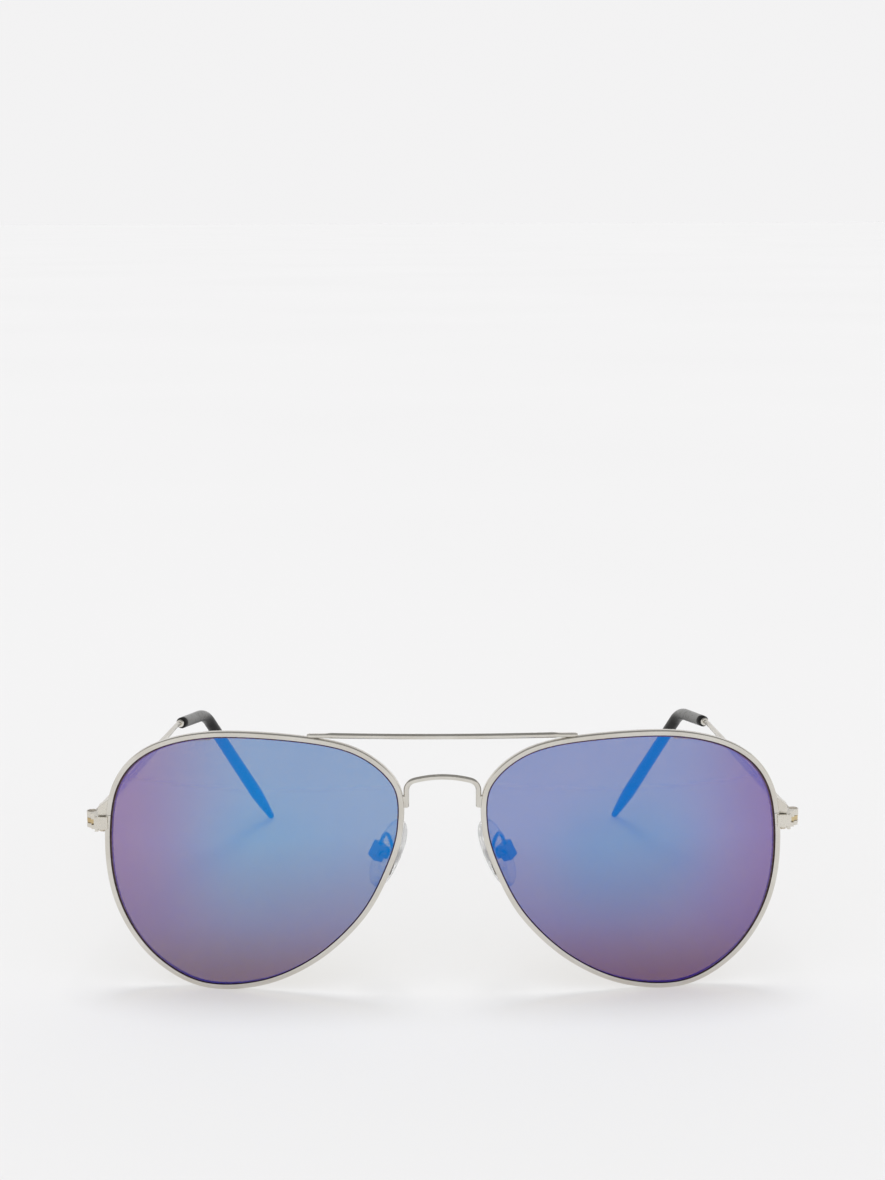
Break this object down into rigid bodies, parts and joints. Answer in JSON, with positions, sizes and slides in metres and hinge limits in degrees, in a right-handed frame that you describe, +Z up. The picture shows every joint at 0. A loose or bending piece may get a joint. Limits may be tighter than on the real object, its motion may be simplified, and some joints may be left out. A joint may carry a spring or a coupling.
{
  "type": "aviator sunglasses",
  "caption": "Wire-rimmed aviator sunglasses with blue flash-mirror lenses, straight brow bar, screwed nose pads and folding temples with black plastic tips.",
  "frame": {"origin": "middle of the footprint of the open glasses, on the surface that they stand on", "axes": "+X to the wearer's left, -Y the way the wearer looks, +Z up"},
  "size_m": [0.1428, 0.137, 0.0539],
  "materials": {
    "frame_metal": "satin silver plating on wire and small blocks",
    "screw_steel": "turned steel, bright",
    "lens_tint": "tinted moulded lens with a blue mirror coating that turns violet at the edge",
    "tip_plastic": "black moulded sleeve, semi-gloss",
    "pad_clear": "clear soft plastic"
  },
  "bodies": {
    "front": {"right_rim": "frame_metal", "right_lens": "lens_tint", "right_closing_block_upper": "frame_metal", "right_closing_block_lower": "frame_metal", "right_rim_screw": "screw_steel", "right_endpiece": "frame_metal", "right_hinge_screw": "screw_steel", "right_pad_arm": "frame_metal", "right_pad_box": "frame_metal", "right_pad_screw": "screw_steel", "left_rim": "frame_metal", "left_lens": "lens_tint", "left_closing_block_upper": "frame_metal", "left_closing_block_lower": "frame_metal", "left_rim_screw": "screw_steel", "left_endpiece": "frame_metal", "left_hinge_screw": "screw_steel", "left_pad_arm": "frame_metal", "left_pad_box": "frame_metal", "left_pad_screw": "screw_steel", "bridge": "frame_metal", "brow_bar": "frame_metal"},
    "right_temple": {"right_temple": "frame_metal", "right_temple_tip": "tip_plastic"},
    "right_nose_pad": {"right_pad_insert": "screw_steel", "right_nose_pad": "pad_clear"},
    "left_temple": {"left_temple": "frame_metal", "left_temple_tip": "tip_plastic"},
    "left_nose_pad": {"left_pad_insert": "screw_steel", "left_nose_pad": "pad_clear"}
  },
  "joints": [
    {"name": "right_temple_hinge", "type": "hinge", "parent": "front", "child": "right_temple", "pos_m": [-0.0703, -0.05677, 0.03404], "axis": [0, 0.0523, -0.9986], "range_deg": [0, 77]},
    {"name": "left_temple_hinge", "type": "hinge", "parent": "front", "child": "left_temple", "pos_m": [0.0703, -0.05677, 0.03404], "axis": [0, -0.0523, 0.9986], "range_deg": [0, 72]},
    {"name": "right_pad_rock", "type": "hinge", "parent": "front", "child": "right_nose_pad", "pos_m": [-0.0127, -0.05804, 0.02755], "axis": [-0.4568, 0.8542, 0.2484], "range_deg": [-8, 8]},
    {"name": "left_pad_rock", "type": "hinge", "parent": "front", "child": "left_nose_pad", "pos_m": [0.0127, -0.05804, 0.02755], "axis": [0.4568, 0.8542, 0.2484], "range_deg": [-8, 8]}
  ]
}
